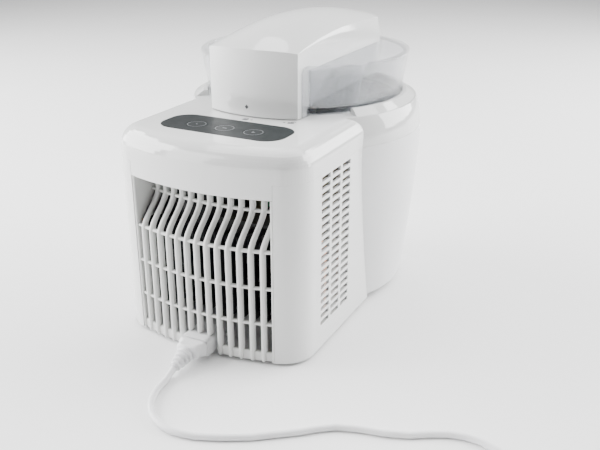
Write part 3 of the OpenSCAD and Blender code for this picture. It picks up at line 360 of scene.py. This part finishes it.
def fill_rib(bm, x):
    """One upright rib with a rounded front and foot, shorter where it stands over the inlet."""
    z0 = GRILLE_LOW.z
    if abs(x) < INLET_GAP_HALF:
        z0 = INLET_HIGH.z + 0.3 * MM
    heights = [z0, z0 + 0.5 * MM, z0 + 1.3 * MM, z0 + 2.6 * MM]
    shares = [0.5, 0.75, 0.93, 1]
    upper = spread(max(z0 + 6 * MM, 40 * MM), GRILLE_HIGH.z, 34)
    rings = []
    for z, share in zip(heights + upper, shares + [1] * len(upper)):
        half = RIB_W / 2 * share
        y = rear_at(x) + sweep_in(z) + (1 - share) * 1.5 * MM
        ring = [(x + half * cos(a), y + RIB_ROUND * (1 - sin(a)), z) for a in spread(0, pi, 10)]
        ring += [(x - half, y + RIB_D - (1 - share) * 2 * MM, z),
                 (x + half, y + RIB_D - (1 - share) * 2 * MM, z)]
        rings.append(ring)
    skin(bm, rings)


def fill_cheek(bm, side):
    """The grille's upright edge, which also closes the end of the hand hold."""
    x = side * (GRILLE_HIGH.x - CHEEK_HALF)
    y = rear_at(GRILLE_HIGH.x)
    below = spread(40 * MM, APRON_Z - 0.1 * MM, 24)
    behind = spread(APRON_Z + 0.1 * MM, GRILLE_HIGH.z, 4)
    rings = []
    for z in [GRILLE_LOW.z] + below + behind:
        front = y if z < APRON_Z else y + CHEEK_STEP_IN
        back = y + RIB_D + sweep_in(z)
        ring = [(x + CHEEK_HALF * cos(a), front + CHEEK_HALF * (1 - sin(a)), z)
                for a in spread(0, pi, 6)]
        rings.append(ring + [(x - CHEEK_HALF, back, z), (x + CHEEK_HALF, back, z)])
    skin(bm, rings)


def fill_bar(bm, x0, x1, z0, z1, front, back):
    """A bar that follows the curve of the rear face."""
    radius = min((z1 - z0) / 2, 1.5 * MM)
    rings = []
    for x in spread(x0, x1, 24):
        y = rear_at(x)
        lower = [(x, y + front + radius * (1 - cos(a)), z0 + radius * (1 - sin(a)))
                 for a in spread(pi / 2, 0, 4)]
        upper = [(x, y + front + radius * (1 - cos(a)), z1 - radius * (1 - sin(a)))
                 for a in spread(0, pi / 2, 4)]
        rings.append([(x, y + back, z0)] + lower + upper + [(x, y + back, z1)])
    skin(bm, rings)


def fill_grille(bm):
    for i in range(RIBS):
        fill_rib(bm, (i - (RIBS - 1) / 2) * RIB_PITCH)
    edge = GRILLE_HIGH.x - 1.6 * MM
    for side in (-1, 1):
        fill_cheek(bm, side)
        ends = sorted((side * edge, side * INLET_GAP_HALF))
        fill_bar(bm, *ends, GRILLE_LOW.z, GRILLE_LOW.z + BAND_H, BAND_SET_IN, RIB_D)
    for z in BAR_HEIGHTS:
        front = sweep_in(z) + BAR_SET_IN
        fill_bar(bm, -edge, edge, z - BAR_HALF, z + BAR_HALF, front, front + BAR_D)
    fill_bar(bm, -edge, edge, GRILLE_HIGH.z - TOP_BAR_H, GRILLE_HIGH.z, HOLD_D, HOLD_D + RIB_D)


smooth(add("grille", fill_grille, "grille_plastic", "base", ["rear_grille"]), 40)


# ---- mains inlet, connector and plug ----

INLET_Z = (INLET_LOW.z + INLET_HIGH.z) / 2
PLUG_LOW, PLUG_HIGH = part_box("mains_plug")


def fill_inlet(bm):
    """The inlet's collar, drawn from the bottom of its socket out to the rim and back."""
    width, height = INLET_HIGH.x - INLET_LOW.x, INLET_HIGH.z - INLET_LOW.z
    front, back = INLET_LOW.y, INLET_HIGH.y
    # (place along Y, width, height, corner radius)
    socket = [(front + 17 * MM, 27.6, 13.6, 2), (front + 0.6 * MM, 27.6, 13.6, 2),
              (front, 28.4, 14.4, 2.5)]
    rings = [[(x * MM, y, INLET_Z + z * MM) for x, z in rounded_box(w, h, r)]
             for y, w, h, r in socket]
    for y, inset in ((front, 0.6), (front + 0.2 * MM, 0.15), (front + 0.7 * MM, 0), (back, 0)):
        outline = rounded_box(width / MM - 2 * inset, height / MM - 2 * inset, (1.6, 5))
        rings.append([(x * MM, y, INLET_Z + z * MM) for x, z in outline])
    skin(bm, rings)


def fill_connector(bm):
    """The moulded connector, with a ringed strain relief that droops to the table."""
    face = INLET_LOW.y
    # (distance in front of the inlet's face, width, height, corner radius)
    stations = [(-14, 26.4, 12.4, 2), (-13.6, 27, 13, 2.4), (-0.6, 27, 13, 2.4),
                (0.4, 28.4, 14, 3.6), (0.9, 29.4, 14.7, 4.2), (2.2, 30, 15, 4.8),
                (4, 29.4, 14.8, 5),
                (5.5, 26.4, 14, 5.4), (8, 24.6, 13.6, 5.4), (9.6, 24.4, 13.6, 5.4),
                (11, 25, 14, 5.6), (12.3, 24, 14, 6), (13.2, 21.4, 13.8, 6.4),
                (13.8, 18, 13.4, 6.4), (14, 14.8, 13, 6.3)]
    skin(bm, [[(x * MM, face - d * MM, INLET_Z + z * MM) for x, z in rounded_box(w, h, r)]
              for d, w, h, r in stations])
    start = Vector((0, face - 11 * MM, INLET_Z))
    end = Vector(CORD_RUN[0]) * MM
    reach = (end - start).length / MM
    profile = [(0, 6.6), (2.4, 6.6)]
    rings = 4
    pitch = (reach - 2.4 - 1.4) / rings
    for i in range(rings):
        s, r = 2.4 + i * pitch, 8.2 - 0.95 * i
        profile += [(s, r - 2.2), (s + 0.35 * pitch, r - 2.1), (s + 0.4 * pitch, r - 0.5),
                    (s + 0.5 * pitch, r - 0.05), (s + 0.7 * pitch, r), (s + 0.88 * pitch, r - 0.15),
                    (s + 0.97 * pitch, r - 0.8), (s + pitch, r - 2.2)]
    profile += [(reach - 1.2, 3.9), (reach - 0.3, 3.7), (reach, 3.1)]
    turned(bm, [(s * MM, r * MM) for s, r in profile], start, end - start)


def fill_plug(bm):
    """The plug's round body with grip rings, and its strain relief."""
    # (distance behind the face with the pins, radius)
    profile = [(0, 14), (0, 16.6), (0.4, 17.5), (1.4, 18), (7.5, 18), (8.4, 17.2), (9.4, 17)]
    for s in (10.5, 14, 17.5):
        profile += [(s, 17), (s + 0.5, 17.7), (s + 1.6, 17.7), (s + 2.1, 17)]
    profile += [(21.4, 17), (22.4, 17.6), (24, 17.4), (25.6, 16.4), (28, 13.8), (30.2, 10.6),
                (31.4, 8.4), (32, 7)]
    for s, r in ((32.4, 7), (35.6, 6.4), (38.8, 5.8), (42, 5.2)):
        profile += [(s, r - 1.6), (s + 0.9, r - 1.5), (s + 1.1, r - 0.4), (s + 1.5, r),
                    (s + 2.6, r - 0.1), (s + 2.9, r - 0.6), (s + 3, r - 1.6)]
    profile += [(46.4, 3.7), (47.6, 3.5), (48, 3.1)]
    middle = Vector((PLUG_LOW.x, (PLUG_LOW.y + PLUG_HIGH.y) / 2, (PLUG_LOW.z + PLUG_HIGH.z) / 2))
    turned(bm, [(s * MM, r * MM) for s, r in profile], middle, (1, 0, 0), 64)


# ---- motor arm ----

ARM_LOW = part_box("arm_top_shell")[0]
ARM_REAR_R, ARM_FRONT_R, COLUMN_R = 120 * MM, 102.5 * MM, 104 * MM
ARM_HALF = 48 * MM
SPLIT_Z = 250.3 * MM
CROWN_Z = 293 * MM
# Where the crown and the upper edge are highest, along Y from the barrel's axis
CROWN_PEAK_Y, EDGE_PEAK_Y = -8 * MM, 2 * MM
BROW_DROP, CREASE_DROP = 13.5 * MM, 17 * MM
ARM_BACK, ARM_LENGTH = 121 * MM, 222 * MM
ARM_ACROSS, ARM_ALONG = 26, 56


def crown_at(y):
    """Height of the arm's middle line."""
    if y < CROWN_PEAK_Y:
        return CROWN_Z - 22 * MM * ((CROWN_PEAK_Y - y) / (113 * MM)) ** 2.2
    return CROWN_Z - 11 * MM * ((y - CROWN_PEAK_Y) / (109 * MM)) ** 2


def edge_at(y):
    """Height of the arm's two upper edges."""
    if y < EDGE_PEAK_Y:
        return CROWN_Z - BROW_DROP - 12.5 * MM * ((EDGE_PEAK_Y - y) / (123 * MM)) ** 2
    return CROWN_Z - BROW_DROP - 4 * MM * ((y - EDGE_PEAK_Y) / (99 * MM)) ** 2


def ahead(y):
    """Share of the arm's length at y, from 0 at its rear face."""
    return max(0, (y + ARM_BACK) / ARM_LENGTH)


def arm_point(across, t):
    """A point of the arm's top: across runs from -1 to 1 between its upper edges and
    reaches -2 and 2 at the creases below them; t runs from the rear to the front."""
    y = 0
    for _ in range(12):
        half = ARM_HALF - 4 * MM * ahead(y)
        x = across * half if abs(across) <= 1 else (ARM_HALF if across > 0 else -ARM_HALF)
        y_rear = -sqrt(ARM_REAR_R ** 2 - x ** 2)
        y = y_rear + t * (sqrt(ARM_FRONT_R ** 2 - x ** 2) - y_rear)
    if abs(across) > 1:
        return x, y, edge_at(y) - 1 * MM - CREASE_DROP * ahead(y) ** 1.6
    rise = crown_at(y) - edge_at(y)
    r = (half * half + rise * rise) / (2 * rise)
    return x, y, crown_at(y) - r + sqrt(r * r - x * x)


def fill_arm(bm):
    """The arm's upper shell, with its crown and the column that stands behind the lid."""
    column_y = -sqrt(COLUMN_R ** 2 - ARM_HALF ** 2)
    y_rear = -sqrt(ARM_REAR_R ** 2 - ARM_HALF ** 2)
    y_front = sqrt(ARM_FRONT_R ** 2 - ARM_HALF ** 2)
    column_t = (column_y - y_rear) / (y_front - y_rear)
    steps = [0, column_t / 3, column_t * 2 / 3] + spread(column_t, 1, ARM_ALONG)
    column_steps = 3
    across = [-2] + [sin(a) for a in spread(-pi / 2, pi / 2, ARM_ACROSS)] + [2]
    last = len(across) - 1

    def at(x, y, z):
        return bm.verts.new((x, y + AXIS_Y, z))

    grid = [[at(*arm_point(a, t)) for a in across] for t in steps]
    for near, far in zip(grid, grid[1:]):
        for i in range(last):
            bm.faces.new((near[i], near[i + 1], far[i + 1], far[i]))
    left = [row[0] for row in grid[1:-1]]
    right = [row[-1] for row in grid[1:-1]]
    loop = grid[0] + right + grid[-1][::-1] + left[::-1]
    skirt = [bm.verts.new((v.co.x, v.co.y, SPLIT_Z)) for v in loop]
    for i, vert in enumerate(loop):
        j = (i + 1) % len(loop)
        bm.faces.new((vert, loop[j], skirt[j], skirt[i]))
    # The column: from the side at its front edge, around the rear face, to the other side
    start = len(loop) - column_steps
    outer = skirt[start:] + skirt[:last + 1 + column_steps]
    low = [bm.verts.new((v.co.x, v.co.y, ARM_LOW.z)) for v in outer]
    end_angle = asin(ARM_HALF / COLUMN_R)
    inner_at = [(COLUMN_R * sin(a), -COLUMN_R * cos(a))
                for a in spread(end_angle, -end_angle, 24)[1:-1]]
    inner = [outer[-1]] + [at(x, y, SPLIT_Z) for x, y in inner_at] + [outer[0]]
    inner_low = [low[-1]] + [at(x, y, ARM_LOW.z) for x, y in inner_at] + [low[0]]
    for top, bottom in ((outer, low), (inner, inner_low)):
        for i in range(len(top) - 1):
            bm.faces.new((top[i], top[i + 1], bottom[i + 1], bottom[i]))
    bm.faces.new(low + inner_low[1:-1])
    bm.faces.new(skirt[last + column_steps:start + 1] + inner[-2:0:-1])


# ---- printed marks ----

PRINT_T = 0.05 * MM
KEY_RING_OUT, KEY_RING_IN = 8.9 * MM, 8.45 * MM
MARK_SIZE = 1.3 * MM
# Where the lock signs stand about the barrel's axis, and how far outside the arm
LOCK_ANGLE, FREE_ANGLE = radians(0.7), radians(20.9)
MARK_CLEAR = 8 * MM


def fill_ring(bm, centre, outer, inner, z):
    rows = []
    for r, height in ((outer, z), (outer, z + PRINT_T), (inner, z + PRINT_T), (inner, z)):
        rows.append([(centre.x + r * cos(a), centre.y + r * sin(a), height)
                     for a in spread(0, 2 * pi, 64)[:-1]])
    skin(bm, rows + rows[:1], closed=False)


def fill_flat(bm, outline, z):
    skin(bm, [[(x, y, h) for x, y in outline] for h in (z, z + PRINT_T)])


def make_button_marks():
    """A thin ring around each button's touch area and a plain sign in it."""
    signs = {"left": rounded_box(1.6, 1.6, 0.79), "middle": rounded_box(4.6, 1.1, 0.5),
             "right": [(-1.4, -1.7), (1.9, 0), (-1.4, 1.7)]}
    for place, sign in signs.items():
        low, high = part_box("button_" + place)
        centre = (low + high) / 2

        def fill(bm):
            fill_ring(bm, centre, KEY_RING_OUT, KEY_RING_IN, high.z)
            fill_flat(bm, [(centre.x + x * MM, centre.y + y * MM) for x, y in sign], high.z)
        add(place + "_button_marks", fill, "ring_print", JOINTS["press_%s_button" % place]["child"])


def make_deck_marks():
    """Where the arm's mark points when the head is locked, and when it can be lifted."""
    reach = ARM_REAR_R + MARK_CLEAR

    def placed(angle, offset, points):
        out = []
        for x, y in points:
            a = angle + offset / reach
            base = Vector((reach * sin(a), AXIS_Y - reach * cos(a)))
            right = Vector((cos(a), sin(a)))
            ahead_of = Vector((-right.y, right.x))
            out.append(tuple(base + right * x * MARK_SIZE + ahead_of * y * MARK_SIZE))
        return out

    def fill(bm):
        # An angle, the dot's offset beside the lock, and how far its shackle is swung open
        for angle, offset, shackle_x in ((LOCK_ANGLE, 6.4 * MM, 0), (FREE_ANGLE, -6.4 * MM, 1.8)):
            fill_flat(bm, placed(angle, 0, [(-2.3, -2.4), (2.3, -2.4), (2.3, 0.8), (-2.3, 0.8)]),
                      DECK_Z)
            arch = [(shackle_x + 1.8 * cos(a), 0.8 + 2.3 * sin(a)) for a in spread(0, pi, 8)]
            arch += [(shackle_x + 1.0 * cos(a), 0.8 + 1.4 * sin(a)) for a in spread(pi, 0, 8)]
            fill_flat(bm, placed(angle, 0, arch), DECK_Z)
            fill_flat(bm, placed(angle, offset, rounded_box(1.8, 1.8, 0.85)), DECK_Z)
    add("deck_marks", fill, "dark_print", "base")


def make_arm_mark():
    """A small diamond low on the arm's rear face."""
    def fill(bm):
        rings = []
        for lift in (-0.1 * MM, 0.06 * MM):
            ring = []
            for x, z in ((-2.1, 0), (0, -2.3), (2.1, 0), (0, 2.3)):
                a = radians(-0.9) + x * MM / ARM_REAR_R
                ring.append(((ARM_REAR_R + lift) * sin(a), AXIS_Y - (ARM_REAR_R + lift) * cos(a),
                             ARM_LOW.z + (8.9 + z) * MM))
            rings.append(ring)
        skin(bm, rings)
    add("arm_mark", fill, "dark_print", "head")


# ---- mains cord ----

def coil_points():
    """Turns laid two wide and two high, clockwise from the coil's far side."""
    points = []
    for i in range(int(COIL_TURNS * COIL_STEPS) + 1):
        turn = i / COIL_STEPS
        inward = eased(turn, 0.80, 0.96) - eased(turn, 2.52, 2.66)
        radius = COIL_OUT_R + (COIL_IN_R - COIL_OUT_R) * inward
        height = 3 + 6 * eased(turn, 1.66, 1.82)
        angle = pi / 2 - 2 * pi * turn
        points.append((COIL_AT[0] + radius * cos(angle), COIL_AT[1] + radius * sin(angle), height))
    return points


def make_cord():
    points = [Vector(p) * MM for p in CORD_RUN + coil_points() + LEAD_RUN]
    data = bpy.data.curves.new("mains_flex", "CURVE")
    data.dimensions = "3D"
    data.bevel_depth = CORD_D / 2
    data.bevel_resolution = 5
    data.use_fill_caps = True
    line = data.splines.new("POLY")
    line.points.add(len(points) - 1)
    for spot, point in zip(line.points, points):
        spot.co = (*point, 1)
    line.use_smooth = True
    cord = bpy.data.objects.new("mains_flex", data)
    bpy.context.scene.collection.objects.link(cord)
    dress(cord, "cord_vinyl")
    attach(cord, "base")
    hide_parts("mains_cord", "cord_coil", "plug_lead")


smooth(add("inlet", fill_inlet, "white_satin", "base", ["mains_inlet"]), 40)
smooth(add("cord_connector", fill_connector, "cord_vinyl", "base",
           ["mains_connector"]), 50)
smooth(add("plug_body", fill_plug, "cord_vinyl", "base", ["mains_plug"]), 50)
make_cord()
smooth(add("arm_cover", fill_arm, "white_gloss", "head", ["arm_top_shell"]), 30)
make_button_marks()
make_deck_marks()
make_arm_mark()


# ---- floor and light ----

def make_floor():
    mesh = bpy.data.meshes.new("floor")
    size = 4
    mesh.from_pydata([(-size, -size, 0), (size, -size, 0), (size, size, 0), (-size, size, 0)],
                     [], [(0, 1, 2, 3)])
    floor = bpy.data.objects.new("floor", mesh)
    bpy.context.scene.collection.objects.link(floor)
    finish = Finish("floor_white", (0.9, 0.9, 0.9), 0.6).mottled(3, 0.01)
    floor.data.materials.append(finish.material)


def softbox(name, at, towards, width, height, power):
    data = bpy.data.lights.new(name, "AREA")
    data.shape = "RECTANGLE"
    data.size, data.size_y = width, height
    data.energy = power
    light = bpy.data.objects.new(name, data)
    light.location = at
    light.rotation_euler = (Vector(at) - Vector(towards)).to_track_quat("Z", "Y").to_euler()
    bpy.context.scene.collection.objects.link(light)


def make_light():
    world = bpy.data.worlds.new("studio")
    bpy.context.scene.world = world
    world.use_nodes = True
    nodes, links = world.node_tree.nodes, world.node_tree.links
    sky = nodes["Background"]
    sky.inputs["Color"].default_value = (1, 1, 1, 1)
    # A bright backdrop behind the object, and a dim room in front of it
    direction = nodes.new("ShaderNodeSeparateXYZ")
    links.new(nodes.new("ShaderNodeTexCoord").outputs["Generated"], direction.inputs["Vector"])
    fade = nodes.new("ShaderNodeMapRange")
    for socket, value in zip(("From Min", "From Max", "To Min", "To Max"), (-0.1, 0.5, 0.03, 0.9)):
        fade.inputs[socket].default_value = value
    links.new(direction.outputs["Y"], fade.inputs["Value"])
    links.new(fade.outputs["Result"], sky.inputs["Strength"])
    middle = (0, 0, 0.15)
    softbox("right", (1.25, 1.15, 0.85), middle, 1.7, 1.5, 92)
    softbox("left", (-1.65, -0.45, 0.8), middle, 1.6, 1.5, 108)
    softbox("left_strip", (-0.95, -1.4, 0.75), middle, 0.7, 1.5, 17)
    softbox("top", (0, 0.3, 2.1), middle, 2.2, 2.2, 66)


make_floor()
make_light()
